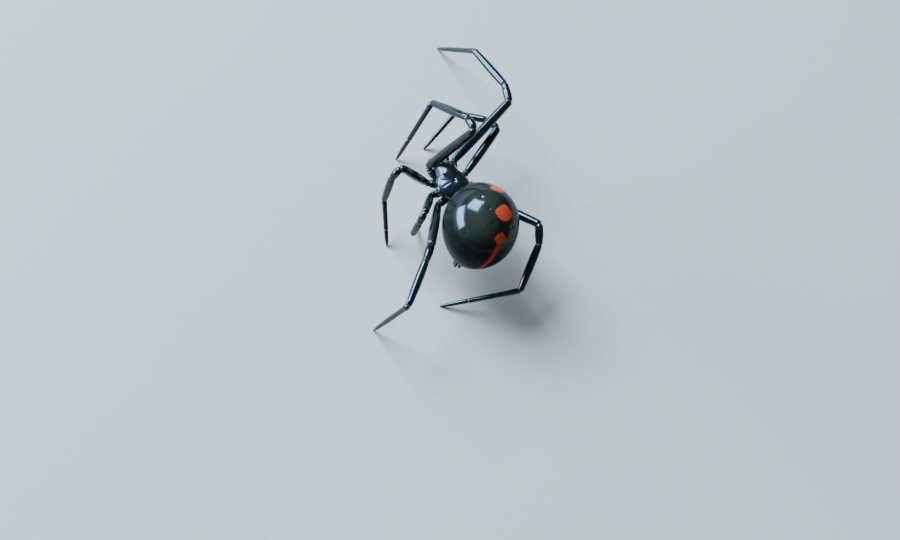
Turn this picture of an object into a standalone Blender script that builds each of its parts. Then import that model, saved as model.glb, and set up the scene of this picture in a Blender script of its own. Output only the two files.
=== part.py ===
"""Adult female black widow spider, life size, standing still on its eight feet.

The head faces -Y, the animal's left is +X, and the feet stand on z = 0.
Each leg is one bent tube parted by thin cuts into coxa, femur, tibia and foot.
"""

import math

import bmesh
import bpy
import numpy as np
from mathutils import Matrix, Vector

MM = 0.001
JOINT_GAP = 0.2 * MM
EYE_GAP = 0.02 * MM
CHAMFER = 0.06 * MM

# Stance of the body
BODY_HEIGHT = 3.6 * MM
BODY_PITCH = math.radians(4)
ABDOMEN_YAW = math.radians(-13.5)
ABDOMEN_PITCH = math.radians(8)
ABDOMEN_ROLL = math.radians(-21)

# Carapace and breastplate, in the head's own frame with the carapace margin at z = 0
CARAPACE_FRONT = -1.8 * MM
CARAPACE_LENGTH = 3.2 * MM
CARAPACE_HALF_WIDTH = 1.4 * MM
CARAPACE_HEIGHT = 1.0 * MM
MARGIN_HEIGHT = 0.05 * MM
STERNUM_HALF_WIDTH = 0.6 * MM
STERNUM_DEPTH = 0.95 * MM
FOVEA_DEPTH = 0.16 * MM
FOVEA_SHARE = 0.66
GROOVE_DEPTH = 0.07 * MM

# Shares of those sizes along the head, from the face to the waist
CARAPACE_WIDTHS = (
    (0, 0.44), (0.06, 0.54), (0.2, 0.6), (0.34, 0.66), (0.48, 0.86), (0.66, 1.0), (0.82, 0.9), (0.93, 0.62),
    (1, 0.3),
)
CARAPACE_HEIGHTS = (
    (0, 0.4), (0.05, 0.62), (0.12, 0.82), (0.25, 0.98), (0.38, 1.0), (0.5, 0.9), (0.8, 0.76), (0.93, 0.52),
    (1, 0.26),
)
STERNUM_WIDTHS = ((0, 0.3), (0.16, 0.4), (0.28, 0.8), (0.42, 1.0), (0.7, 0.96), (0.9, 0.7), (1, 0.4))
STERNUM_DEPTHS = (
    (0, 0.05), (0.14, 0.08), (0.24, 0.5), (0.33, 0.9), (0.5, 1.0), (0.75, 1.0), (0.9, 0.84), (1, 0.5),
)

# Underside of a slice, from the margin in to the breastplate: share of the carapace's half width,
# share of the breastplate's half width, and share of the depth
BELLY_LINE = (
    (0.96, 0.0, 0.08), (0.40, 0.6, 0.14), (0.06, 0.94, 0.30), (0.0, 1.0, 0.8), (0.0, 0.86, 0.96),
    (0.0, 0.45, 1.0),
)

# Abdomen: half width, half length and half height, and its centre from the waist
ABDOMEN_RADII = np.array([2.83, 3.34, 3.37]) * MM
ABDOMEN_FRONT_TAPER = 0.18
ABDOMEN_BELLY_TAPER = 0.27
ABDOMEN_FROM_WAIST = np.array([0.0, 3.05, 1.76]) * MM
WAIST = np.array([0.0, 1.85, -0.15]) * MM
WAIST_SEAT = math.radians(-42)
WAIST_SEAT_BUMP = 0.08 * MM
WAIST_RADIUS = 0.26 * MM
WAIST_START = np.array([0.0, 1.62, -0.3]) * MM
SPINNERET_ANGLE = math.radians(250)
SPINNERET_KNOB = 0.20 * MM
SPINNERET_GAP = 0.10 * MM
EPIGYNUM_ANGLE = math.radians(-72)
EPIGYNUM_BUMP = 0.12 * MM

# Legs in mm, from the first pair to the last: where each leaves the breastplate, its hip,
# and femur, patella, tibia and foot lengths
COXA_ROOTS = ((0.72, -1.05, -0.5), (0.80, -0.36, -0.5), (0.80, 0.32, -0.5), (0.72, 0.98, -0.5))
HIPS = ((1.15, -2.00, -0.2), (1.70, -0.75, -0.3), (1.75, 0.40, -0.3), (1.60, 1.38, -0.25))
LEG_LENGTHS = ((6.2, 1.55, 4.4, 6.2), (4.4, 1.25, 2.7, 3.9), (3.4, 1.1, 1.8, 3.3), (5.7, 1.5, 3.8, 6.3))
LEG_GIRTHS = (1.05, 0.96, 0.90, 1.03)
LEG_BEND = 0.42 * MM
FOOT_TIP_HEIGHT = 0.02 * MM
LEG_SIDES = 10
LEG_STEP = 0.95 * MM

# Pose of each leg in degrees, from straight ahead towards its own side, and up from level:
# femur direction and rise, tibia direction and rise, foot direction
LEG_POSES = {
    "leg1_left": (257, 65, 16, -40, 119),
    "leg1_right": (65, 30, -8, -17, -11),
    "leg2_left": (86, 52, 145, -80, 176),
    "leg2_right": (54, 14, -48, -23, -112),
    "leg3_left": (140, 37, 85, -85, 315),
    "leg3_right": (139, 0, 230, -5, 91),
    "leg4_left": (146, 30, 140, -5, 49),
    "leg4_right": (146, 20, 220, -34, 285),
}

# Radius along a leg in mm: place as corner number plus share of the way to the next corner
LEG_RADII = (
    (0.00, 0.29), (0.50, 0.31), (0.80, 0.28), (1.00, 0.29), (1.12, 0.33), (1.45, 0.36), (1.85, 0.33),
    (2.00, 0.31), (2.50, 0.33), (3.00, 0.29), (3.25, 0.32), (3.80, 0.30), (4.00, 0.26), (4.20, 0.26),
    (4.65, 0.25), (4.72, 0.23), (4.90, 0.20), (5.00, 0.13),
)

# Jaws and palps in mm in the head's frame, for the left of each pair, with their radii along them
JAW_LINE = ((0.30, -1.52, -0.26), (0.30, -1.68, -0.95), (0.19, -1.52, -1.25))
JAW_RADII = ((0, 0.21), (0.3, 0.25), (0.6, 0.23), (0.76, 0.17), (0.84, 0.09), (1.0, 0.03))
PALP_LINE = ((0.54, -2.06, -0.02), (0.60, -2.44, -0.02), (0.58, -2.62, -0.60), (0.44, -2.42, -1.35))
PALP_RADII = ((0, 0.19), (0.25, 0.21), (0.5, 0.2), (0.8, 0.19), (1.0, 0.1))

# Eyes: place along the carapace, angle up its side in degrees, and radius in mm, the left of each pair
EYES = {
    "eye_front_median": (0.030, 76, 0.11),
    "eye_front_lateral": (0.045, 46, 0.10),
    "eye_rear_median": (0.105, 77, 0.10),
    "eye_rear_lateral": (0.105, 50, 0.10),
}

# Spinneret base, six spinnerets and the anal knob in mm: place across and up, radius, height and tip's share
SPINNERET_BASE = (0.0, 0.0, 0.34, 0.12, 0.9)
SPINNERETS = (
    (0.16, -0.13, 0.15, 0.44, 0.55),
    (0.15, 0.14, 0.13, 0.40, 0.50),
    (0.06, 0.02, 0.07, 0.30, 0.60),
)
ANAL_KNOB = (0.0, 0.26, 0.10, 0.26, 0.60)


def unit(vector):
    return vector / np.linalg.norm(vector)


HEAD_FRAME = Matrix.Translation((0.0, 0.0, BODY_HEIGHT)) @ Matrix.Rotation(BODY_PITCH, 4, "X")
ABDOMEN_TURN = Matrix.Rotation(ABDOMEN_YAW, 4, "Z") @ Matrix.Rotation(ABDOMEN_PITCH, 4, "X")
ABDOMEN_TURN = ABDOMEN_TURN @ Matrix.Rotation(ABDOMEN_ROLL, 4, "Y")


def from_head(point):
    """A point of the head's frame in the spider's frame."""
    return np.array(HEAD_FRAME @ Vector(point))


ABDOMEN_CENTRE = from_head(WAIST) + np.array(ABDOMEN_TURN @ Vector(ABDOMEN_FROM_WAIST))
ABDOMEN_FRAME = Matrix.Translation(ABDOMEN_CENTRE) @ ABDOMEN_TURN


def smooth_stops(at, stops):
    """Eased value between (place, value) stops."""
    places = [stop[0] for stop in stops]
    values = [stop[1] for stop in stops]
    at = min(max(at, places[0]), places[-1])
    k = min(max(int(np.searchsorted(places, at, side="right")) - 1, 0), len(places) - 2)
    span = places[k + 1] - places[k]
    share = (at - places[k]) / span
    slopes = np.gradient(values, places)
    cube, square = share**3, share**2
    return (
        (2 * cube - 3 * square + 1) * values[k]
        + (cube - 2 * square + share) * span * slopes[k]
        + (3 * square - 2 * cube) * values[k + 1]
        + (cube - square) * span * slopes[k + 1]
    )


def finish(name, colour, roughness):
    material = bpy.data.materials.new(name)
    material.use_nodes = True
    shader = material.node_tree.nodes["Principled BSDF"]
    shader.inputs["Base Color"].default_value = (*colour, 1.0)
    shader.inputs["Roughness"].default_value = roughness
    shader.inputs["Metallic"].default_value = 0.0
    material.diffuse_color = (*colour, 1.0)
    return material


def add_empty(name, frame, parent=None):
    empty = bpy.data.objects.new(name, None)
    empty.matrix_local = frame
    empty.parent = parent
    bpy.context.scene.collection.objects.link(empty)
    return empty


def add_shape(name, shape, material, parent, location=(0.0, 0.0, 0.0)):
    """A smooth object from a bmesh, under an empty."""
    bmesh.ops.recalc_face_normals(shape, faces=shape.faces)
    bmesh.ops.triangulate(shape, faces=[face for face in shape.faces if len(face.verts) > 4])
    mesh = bpy.data.meshes.new(name)
    shape.to_mesh(mesh)
    shape.free()
    mesh.shade_smooth()
    mesh.set_sharp_from_angle(angle=math.radians(50))
    mesh.materials.append(material)
    obj = bpy.data.objects.new(name, mesh)
    obj.parent = parent
    obj.location = location
    bpy.context.scene.collection.objects.link(obj)
    return obj


def grow_rings(rings):
    """A closed body whose end face is extruded from each ring to the next."""
    shape = bmesh.new()
    face = shape.faces.new([shape.verts.new(point) for point in rings[0]])
    for number, ring in enumerate(rings[1:]):
        grown = bmesh.ops.extrude_face_region(shape, geom=[face])["geom"]
        if number > 0:
            bmesh.ops.delete(shape, geom=[face], context="FACES_ONLY")
        face = next(item for item in grown if isinstance(item, bmesh.types.BMFace))
        for vert, point in zip(face.verts, ring):
            vert.co = point
    return shape


def bent_path(corners, bend_radius):
    """Straight runs joined by arcs: points, tangents, lengths along, and the length at each corner."""
    points, tangents, corner_marks = [corners[0]], [unit(corners[1] - corners[0])], []
    for before, corner, after in zip(corners, corners[1:], corners[2:]):
        back, ahead = unit(before - corner), unit(after - corner)
        half = math.acos(float(np.clip(back @ ahead, -1, 1))) / 2
        swing = math.pi - 2 * half
        centre = corner + unit(back + ahead) * bend_radius / math.sin(half)
        axis = unit(np.cross(back, ahead))
        arm = corner + back * bend_radius / math.tan(half) - centre
        steps = 2 * max(1, round(math.degrees(swing) / 50))
        for k in range(steps + 1):
            angle = -swing * k / steps
            points.append(centre + arm * math.cos(angle) + np.cross(axis, arm) * math.sin(angle))
            tangents.append(unit(-back * math.cos(angle) - np.cross(axis, back) * math.sin(angle)))
        corner_marks.append(len(points) - 1 - steps // 2)
    points = np.array(points + [corners[-1]])
    tangents = np.array(tangents + [unit(corners[-1] - corners[-2])])
    along = np.concatenate([[0], np.cumsum(np.linalg.norm(np.diff(points, axis=0), axis=1))])
    return points, tangents, along, [0.0] + [along[k] for k in corner_marks] + [along[-1]]


def read_path(path, at):
    points, tangents, along, _ = path
    point = np.array([np.interp(at, along, points[:, k]) for k in range(3)])
    tangent = unit(np.array([np.interp(at, along, tangents[:, k]) for k in range(3)]))
    return point, tangent


def tube_stations(path, start, end, step):
    """Lengths along the path where the tube has a ring, each with its share of the radius."""
    inner = [a for a in path[2] if start + 2 * CHAMFER < a < end - 2 * CHAMFER]
    knots = [start + CHAMFER] + inner + [end - CHAMFER]
    places = [knots[0]]
    for a, b in zip(knots, knots[1:]):
        pieces = max(1, math.ceil((b - a) / step))
        if b - places[-1] > CHAMFER:
            places += [a + (b - a) * k / pieces for k in range(1, pieces + 1)]
    return [(start, 0.84)] + [(a, 1.0) for a in places] + [(end, 0.84)]


def build_tube(name, path, span, radius_at, material, parent, sides=LEG_SIDES, floor=-1.0, step=LEG_STEP):
    """One length of a bent tube between two cuts, chamfered at both, with its origin at the first."""
    origin, _ = read_path(path, span[0])
    rings, side = [], np.array([0.31, 0.17, 0.94])
    for at, share in tube_stations(path, *span, step):
        point, tangent = read_path(path, at)
        side = unit(side - tangent * (side @ tangent))
        beside = np.cross(tangent, side)
        radius = radius_at(at) * share
        ring = []
        for angle in np.linspace(0, 2 * math.pi, sides, endpoint=False):
            corner = point + radius * (side * math.cos(angle) + beside * math.sin(angle))
            corner[2] = max(corner[2], floor)
            ring.append(corner - origin)
        rings.append(ring)
    return add_shape(name, grow_rings(rings), material, parent, origin)


def carapace_point(share, angle):
    """A point of the carapace's dome: angle 0 at the left margin, pi at the right one."""
    x = CARAPACE_HALF_WIDTH * smooth_stops(share, CARAPACE_WIDTHS) * math.cos(angle)
    y = CARAPACE_FRONT + CARAPACE_LENGTH * share
    rise = CARAPACE_HEIGHT * smooth_stops(share, CARAPACE_HEIGHTS) * math.sin(angle) ** 0.85
    pit = FOVEA_DEPTH * math.exp(-((x / (0.22 * MM)) ** 2) - ((share - FOVEA_SHARE) / 0.05) ** 2)
    groove_x = 0.9 * MM * min(max((0.62 - share) / 0.3, 0), 1)
    groove = GROOVE_DEPTH * math.exp(-(((abs(x) - groove_x) / (0.16 * MM)) ** 2))
    groove *= max(0.0, min(1.0, (0.64 - share) / 0.08, (share - 0.28) / 0.08)) * math.sin(angle)
    return np.array([x, y, MARGIN_HEIGHT + rise - pit - groove])


def head_slice(share, dome_sides=16):
    """Outline of the head at a share of its length: the dome, the margin and the breastplate."""
    width = CARAPACE_HALF_WIDTH * smooth_stops(share, CARAPACE_WIDTHS)
    sternum = STERNUM_HALF_WIDTH * smooth_stops(share, STERNUM_WIDTHS)
    depth = STERNUM_DEPTH * smooth_stops(share, STERNUM_DEPTHS)
    y = CARAPACE_FRONT + CARAPACE_LENGTH * share
    dome = [carapace_point(share, math.pi * k / dome_sides) for k in range(dome_sides + 1)]
    left = []
    for of_width, of_sternum, down in BELLY_LINE:
        z = MARGIN_HEIGHT - (depth + MARGIN_HEIGHT) * down
        left.append(np.array([of_width * width + of_sternum * sternum, y, z]))
    right = [point * np.array([-1, 1, 1]) for point in left]
    return np.array(dome + right + [np.array([0.0, y, -depth])] + left[::-1])


def build_cephalothorax(material):
    """Carapace, its overhanging margin and the breastplate, one closed body."""
    shares = [0.0, 0.03, 0.07, 0.12, 0.18] + [0.18 + 0.82 * k / 17 for k in range(1, 18)]
    rings = [head_slice(share) for share in shares]
    closed = []
    for ring, shift in ((rings[0], -0.06 * MM), (rings[-1], 0.07 * MM)):
        middle = ring.mean(axis=0)
        closed.append(middle + (ring - middle) * 0.72 + np.array([0.0, shift, 0.0]))
    add_shape("cephalothorax", grow_rings([closed[0]] + rings + [closed[1]]), material, HEAD)


def build_eye(name, base, out, radius, material):
    """A lens with a flat foot, standing off the surface by the eye's gap."""
    out = Vector(out)
    turned = Matrix.Translation(out * radius * 0.3) @ out.to_track_quat("Z", "Y").to_matrix().to_4x4()
    shape = bmesh.new()
    bmesh.ops.create_uvsphere(shape, u_segments=8, v_segments=6, radius=radius, matrix=turned)
    everything = shape.verts[:] + shape.edges[:] + shape.faces[:]
    cut = bmesh.ops.bisect_plane(shape, geom=everything, plane_co=(0, 0, 0), plane_no=out, clear_inner=True)
    rim = [item for item in cut["geom_cut"] if isinstance(item, bmesh.types.BMEdge)]
    bmesh.ops.edgeloop_fill(shape, edges=rim)
    add_shape(name, shape, material, HEAD, Vector(base) + out * EYE_GAP)


def build_eyes(material):
    """Two rows of four, each lens square to the carapace under it."""
    step = 0.002
    for name, (share, degrees, radius) in EYES.items():
        for side, angle in (("left", math.radians(degrees)), ("right", math.pi - math.radians(degrees))):
            base = carapace_point(share, angle)
            along = carapace_point(share + step, angle) - carapace_point(share - step, angle)
            around = carapace_point(share, angle + step) - carapace_point(share, angle - step)
            build_eye(f"{name}_{side}", base, unit(np.cross(along, around)), radius * MM, material)


def build_mouthparts(material):
    """Chelicerae with their fangs hang under the front of the head, with a palp at each side."""
    pairs = (("chelicera", JAW_LINE, JAW_RADII, 0.2 * MM), ("palp", PALP_LINE, PALP_RADII, 0.24 * MM))
    for side, name in ((1, "left"), (-1, "right")):
        for kind, line, radii, bend in pairs:
            path = bent_path([np.array(point) * np.array([side, 1, 1]) * MM for point in line], bend)
            length = path[2][-1]

            def radius_at(at):
                return MM * smooth_stops(at / length, radii)

            build_tube(f"{kind}_{name}", path, (0, length), radius_at, material, HEAD, sides=8, step=0.3 * MM)


def abdomen_way(angle):
    """Direction in the abdomen's mid plane: 0 to the front, 90 degrees up, 180 to the rear."""
    return np.array([0.0, -math.cos(angle), math.sin(angle)])


def abdomen_point(direction):
    """The abdomen's surface in its own frame: a globe with the waist's seat, spinneret knob and epigynum."""
    x, y, z = direction
    slim = 1 - ABDOMEN_FRONT_TAPER * max(-y, 0) ** 1.5
    belly = 1 - ABDOMEN_BELLY_TAPER * max(-z, 0) ** 1.5
    point = ABDOMEN_RADII * np.array([x * slim * belly, y, z * slim])
    for angle, height, spread in (
        (SPINNERET_ANGLE, SPINNERET_KNOB, 17),
        (WAIST_SEAT, WAIST_SEAT_BUMP, 14),
        (EPIGYNUM_ANGLE, EPIGYNUM_BUMP, 9),
    ):
        centre = abdomen_way(angle)
        away = math.degrees(math.acos(float(np.clip(unit(direction) @ centre, -1, 1))))
        point = point + centre * height * math.exp(-((away / spread) ** 2))
    return point


def build_abdomen(material):
    """A sphere with its poles fore and aft, every point moved out to the abdomen's surface."""
    shape = bmesh.new()
    lying = Matrix.Rotation(math.pi / 2, 4, "X")
    bmesh.ops.create_uvsphere(shape, u_segments=36, v_segments=25, radius=1, matrix=lying)
    for vert in shape.verts:
        vert.co = abdomen_point(np.array(vert.co.normalized()))
    add_shape("abdomen", shape, material, ABDOMEN)


def build_waist(material):
    """The pedicel spans from the rear of the breastplate to the abdomen, a gap short of each."""
    start = from_head(WAIST_START)
    wall = np.array(ABDOMEN_FRAME @ Vector(abdomen_point(abdomen_way(WAIST_SEAT))))
    end = wall + unit(start - wall) * JOINT_GAP
    path = bent_path([start, (start + end) / 2 + np.array([0, 0, 0.01 * MM]), end], 0.1 * MM)
    build_tube("pedicel", path, (0, path[2][-1]), lambda at: WAIST_RADIUS, material, SPIDER, step=0.3 * MM)


def spinneret_cone(name, finger, foot, axes, spin, material):
    """One blunt cone with a bevelled tip, leaning out from the middle of the group."""
    across, up, outward = axes
    x, y, radius, height, taper = finger
    foot_radius, tip_radius = radius * MM, radius * taper * MM
    shape = bmesh.new()
    bmesh.ops.create_cone(
        shape, cap_ends=True, segments=8, radius1=foot_radius, radius2=tip_radius, depth=height * MM
    )
    tip = [edge for edge in shape.edges if min(vert.co.z for vert in edge.verts) > 0]
    bmesh.ops.bevel(shape, geom=tip, offset=tip_radius * 0.3, segments=1, affect="EDGES")
    lean = Vector(outward + across * x * 0.5 + up * y * 0.4).to_track_quat("Z", "Y").to_matrix().to_4x4()
    standing = lean @ Matrix.Rotation(spin, 4, "Z") @ Matrix.Translation((0, 0, height / 2 * MM))
    bmesh.ops.transform(shape, verts=shape.verts, matrix=standing)
    return add_shape(name, shape, material, ABDOMEN, foot + (across * x + up * y) * MM)


def build_spinnerets(material):
    """Six spinnerets and the anal knob on one low base, joined into one body."""
    outward = unit(abdomen_way(SPINNERET_ANGLE) / ABDOMEN_RADII)
    across = np.array([1.0, 0.0, 0.0])
    axes = (across, np.cross(outward, across), outward)
    foot = abdomen_point(abdomen_way(SPINNERET_ANGLE)) + outward * SPINNERET_GAP
    base = spinneret_cone("spinnerets", SPINNERET_BASE, foot, axes, 0.0, material)
    fingers = [ANAL_KNOB]
    for x, *rest in SPINNERETS:
        fingers += [(x, *rest), (-x, *rest)]
    pieces = bpy.data.collections.new("spinneret_pieces")
    for number, finger in enumerate(fingers, 1):
        root = foot + outward * (0.02 + 0.005 * number) * MM
        cone = spinneret_cone(f"spinneret_piece_{number}", finger, root, axes, 0.13 * number, material)
        bpy.context.scene.collection.objects.unlink(cone)
        pieces.objects.link(cone)
    bpy.context.scene.collection.children.link(pieces)
    join_into(base, pieces)


def join_into(base, collection):
    """Boolean union of the collection's closed meshes into the base, keeping its largest body."""
    union = base.modifiers.new("union", "BOOLEAN")
    union.operation = "UNION"
    union.solver = "EXACT"
    union.operand_type = "COLLECTION"
    union.collection = collection
    bpy.context.view_layer.update()
    graph = bpy.context.evaluated_depsgraph_get()
    joined = bpy.data.meshes.new_from_object(base.evaluated_get(graph))
    base.modifiers.clear()
    base.data = joined
    for helper in list(collection.objects):
        bpy.data.objects.remove(helper)
    bpy.data.collections.remove(collection)
    keep_largest(joined)


def keep_largest(mesh):
    """Drops every closed surface of the mesh but its largest."""
    shape = bmesh.new()
    shape.from_mesh(mesh)
    left, groups = set(shape.verts), []
    while left:
        group, border = set(), [left.pop()]
        while border:
            vert = border.pop()
            group.add(vert)
            fresh = {edge.other_vert(vert) for edge in vert.link_edges} & left
            left -= fresh
            border += fresh
        groups.append(group)
    groups.sort(key=len)
    bmesh.ops.delete(shape, geom=[vert for group in groups[:-1] for vert in group], context="VERTS")
    shape.to_mesh(mesh)
    shape.free()


def heading(azimuth, rise, side):
    """Unit vector from degrees off straight ahead, towards the animal's given side, and up."""
    a, b = math.radians(azimuth), math.radians(rise)
    return np.array([side * math.sin(a) * math.cos(b), -math.cos(a) * math.cos(b), math.sin(b)])


def leg_corners(name):
    """Root, hip, knee, patella end, tibia end and foot tip of a leg, in the spider's frame."""
    pair, side = int(name[3]) - 1, 1 if name.endswith("left") else -1
    mirror = np.array([side, 1, 1]) * MM
    femur, patella, tibia, foot = (length * MM for length in LEG_LENGTHS[pair])
    femur_way, femur_rise, tibia_way, tibia_rise, foot_way = LEG_POSES[name]
    root = from_head(COXA_ROOTS[pair] * mirror)
    hip = from_head(HIPS[pair] * mirror)
    thigh, shin = heading(femur_way, femur_rise, side), heading(tibia_way, tibia_rise, side)
    knee = hip + thigh * femur
    below_knee = knee + unit(0.8 * shin + 0.35 * thigh) * patella
    ankle = below_knee + shin * tibia
    drop = -math.degrees(math.asin((ankle[2] - FOOT_TIP_HEIGHT) / foot))
    tip = ankle + heading(foot_way, drop, side) * foot
    return [root, hip, knee, below_knee, ankle, tip]


def build_leg(name, material):
    """Coxa, femur, tibia with the patella, and foot, cut from one bent tube at hip, knee and ankle."""
    path = bent_path(leg_corners(name), LEG_BEND)
    marks = path[3]
    girth = LEG_GIRTHS[int(name[3]) - 1]

    def radius_at(at):
        k = min(max(int(np.searchsorted(marks, at, side="right")) - 1, 0), len(marks) - 2)
        place = k + (at - marks[k]) / (marks[k + 1] - marks[k])
        scale = 1.0 if place < 1 or place > 4.2 else girth
        return MM * scale * smooth_stops(place, LEG_RADII)

    half = JOINT_GAP / 2
    cuts = (
        ("coxa", 0, marks[1] - half),
        ("femur", marks[1] + half, marks[2] - half),
        ("tibia", marks[2] + half, marks[4] - half),
        ("foot", marks[4] + half, marks[5]),
    )
    for part, start, end in cuts:
        build_tube(f"{name}_{part}", path, (start, end), radius_at, material, SPIDER, floor=0.0)


def centre_on_floor():
    """Moves the spider's empty so that the whole animal stands over the origin."""
    bpy.context.view_layer.update()
    corners = []
    for obj in bpy.data.objects:
        if obj.type == "MESH":
            corners += [np.array(obj.matrix_world @ vert.co) for vert in obj.data.vertices]
    low, high = np.min(corners, axis=0), np.max(corners, axis=0)
    SPIDER.location = (-(low[0] + high[0]) / 2, -(low[1] + high[1]) / 2, -low[2])


for old in list(bpy.data.objects):
    bpy.data.objects.remove(old)
SPIDER = add_empty("spider", Matrix.Identity(4))
HEAD = add_empty("head_frame", HEAD_FRAME, SPIDER)
ABDOMEN = add_empty("abdomen_frame", ABDOMEN_FRAME, SPIDER)

SHELL = finish("black_shell", (0.012, 0.013, 0.015), 0.22)
ABDOMEN_SKIN = finish("abdomen_skin", (0.014, 0.014, 0.013), 0.16)
EYE_LENS = finish("eye_lens", (0.02, 0.018, 0.015), 0.08)
DULL_SHELL = finish("dull_shell", (0.03, 0.022, 0.018), 0.45)

build_cephalothorax(SHELL)
build_eyes(EYE_LENS)
build_mouthparts(SHELL)
build_waist(DULL_SHELL)
build_abdomen(ABDOMEN_SKIN)
build_spinnerets(DULL_SHELL)
for leg in LEG_POSES:
    build_leg(leg, SHELL)
centre_on_floor()
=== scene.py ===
import math

import bmesh
import bpy
import numpy as np
from mathutils import Matrix, Vector


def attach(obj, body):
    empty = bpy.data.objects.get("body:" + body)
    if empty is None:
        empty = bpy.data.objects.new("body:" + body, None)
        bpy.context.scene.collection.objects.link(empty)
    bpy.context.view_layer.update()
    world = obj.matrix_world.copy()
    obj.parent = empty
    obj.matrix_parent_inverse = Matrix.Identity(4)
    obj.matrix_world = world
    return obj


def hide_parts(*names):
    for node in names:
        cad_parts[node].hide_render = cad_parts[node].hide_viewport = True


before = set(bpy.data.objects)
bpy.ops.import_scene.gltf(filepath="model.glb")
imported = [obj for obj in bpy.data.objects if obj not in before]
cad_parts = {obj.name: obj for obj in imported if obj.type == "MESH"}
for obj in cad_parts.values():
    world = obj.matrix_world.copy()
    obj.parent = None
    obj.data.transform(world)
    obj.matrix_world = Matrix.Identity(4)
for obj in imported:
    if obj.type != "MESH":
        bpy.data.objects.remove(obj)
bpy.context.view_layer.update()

# Bench top.
# A plain pale board, matt, far wider than the spider that stands on it.
# One flat sheet of mesh, which is no part of the animal.
MM = 0.001
BENCH_HALF = 900 * MM
BENCH_PALE = (0.66, 0.475, 0.37)

bench_mesh = bpy.data.meshes.new("bench")
bench_corners = [(x * BENCH_HALF, y * BENCH_HALF, 0) for x, y in ((-1, -1), (1, -1), (1, 1), (-1, 1))]
bench_mesh.from_pydata(bench_corners, [], [(0, 1, 2, 3)])
bench = bpy.data.objects.new("bench", bench_mesh)
bpy.context.scene.collection.objects.link(bench)


class Tone:
    """A socket of a material that can be reckoned with like a number."""

    def __init__(self, tree, socket):
        self.tree = tree
        self.socket = socket

    def node(self, kind, settings=(), sockets=(), out=0):
        """Adds a node: its settings first, then the values or links of its sockets."""
        made = self.tree.nodes.new(kind)
        for key, value in dict(settings).items():
            setattr(made, key, value)
        for key, value in dict(sockets).items():
            if isinstance(value, Tone):
                self.tree.links.new(value.socket, made.inputs[key])
            else:
                made.inputs[key].default_value = value
        return Tone(self.tree, made.outputs[out])

    def sum(self, operation, *values):
        return self.node("ShaderNodeMath", {"operation": operation}, dict(enumerate(values)))

    def __add__(self, other):
        return self.sum("ADD", self, other)

    __radd__ = __add__

    def __sub__(self, other):
        return self.sum("SUBTRACT", self, other)

    def __rsub__(self, other):
        return self.sum("SUBTRACT", other, self)

    def __mul__(self, other):
        return self.sum("MULTIPLY", self, other)

    __rmul__ = __mul__

    def __truediv__(self, other):
        return self.sum("DIVIDE", self, other)

    def __lt__(self, other):
        return self.sum("LESS_THAN", self, other)

    def __or__(self, other):
        """The higher of two masks."""
        return self.sum("MAXIMUM", self, other)

    def __abs__(self):
        return self.sum("ABSOLUTE", self)

    def smooth(self, low, high):
        """0 below low, 1 above high, eased between."""
        sockets = {"Value": self, "From Min": low, "From Max": high}
        return self.node("ShaderNodeMapRange", {"interpolation_type": "SMOOTHSTEP"}, sockets)

    def blend(self, from_colour, to_colour):
        """A colour mixed by this share."""
        ends = [c if isinstance(c, Tone) else (*c, 1.0) for c in (from_colour, to_colour)]
        return self.node("ShaderNodeMix", {"data_type": "RGBA"}, {0: self, 6: ends[0], 7: ends[1]}, out=2)

    def along(self, axis):
        """How far this place lies along an axis."""
        return self.node("ShaderNodeVectorMath", {"operation": "DOT_PRODUCT"}, {0: self, 1: axis}, out="Value")

    def grain(self, size, detail=2.0, roughness=0.5, seed=0.0):
        """Noise with features of this size in metres, read from a place."""
        sockets = {"Vector": self, "Scale": 1 / size, "Detail": detail, "Roughness": roughness, "W": seed}
        return self.node("ShaderNodeTexNoise", {"noise_dimensions": "4D"}, sockets)

    def dots(self, size):
        """Distance to the nearest of scattered points, in cells of this size in metres."""
        return self.node("ShaderNodeTexVoronoi", {"feature": "F1"}, {"Vector": self, "Scale": 1 / size})

    def bump(self, height, strength=1.0):
        """A bumped normal from this height in metres."""
        return self.node("ShaderNodeBump", {}, {"Height": self, "Distance": height, "Strength": strength})


def finish(name, **constants):
    """A material with its constants set on the shader, and its place on the piece to paint by."""
    material = bpy.data.materials.new(name)
    material.use_nodes = True
    tree = material.node_tree
    shader = tree.nodes["Principled BSDF"]
    for key, value in constants.items():
        shader.inputs[key.replace("_", " ")].default_value = value
    place = tree.nodes.new("ShaderNodeTexCoord")
    return material, Tone(tree, place.outputs["Object"])


def paint(tone, socket):
    tone.tree.links.new(tone.socket, tone.tree.nodes["Principled BSDF"].inputs[socket])


bench_paint, place = finish("bench_paint", Roughness=0.8)
mottle = place.grain(40 * MM, 3).smooth(0.2, 0.8)
paint(mottle.blend(BENCH_PALE, [0.98 * c for c in BENCH_PALE]), "Base Color")
bench_mesh.materials.append(bench_paint)


# Camera and lamps.
# The camera keeps the photograph's angle, turned with the spider onto a level floor.
# Two cool soft boxes stand where the bright sky shows in the black shell, over a dim even room.
ORIGIN = Vector((-1.2289, 1.9488, 0.0)) * MM
CAMERA_AT = Vector((43.03, 47.06, 110.66)) * MM + ORIGIN
CAMERA_WAY = (135, 62, 26)
LENS = 65
SKY_COOL = (0.38, 0.67, 1.0)
ROOM_LIGHT = (0.62, 0.76, 0.90)

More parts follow.
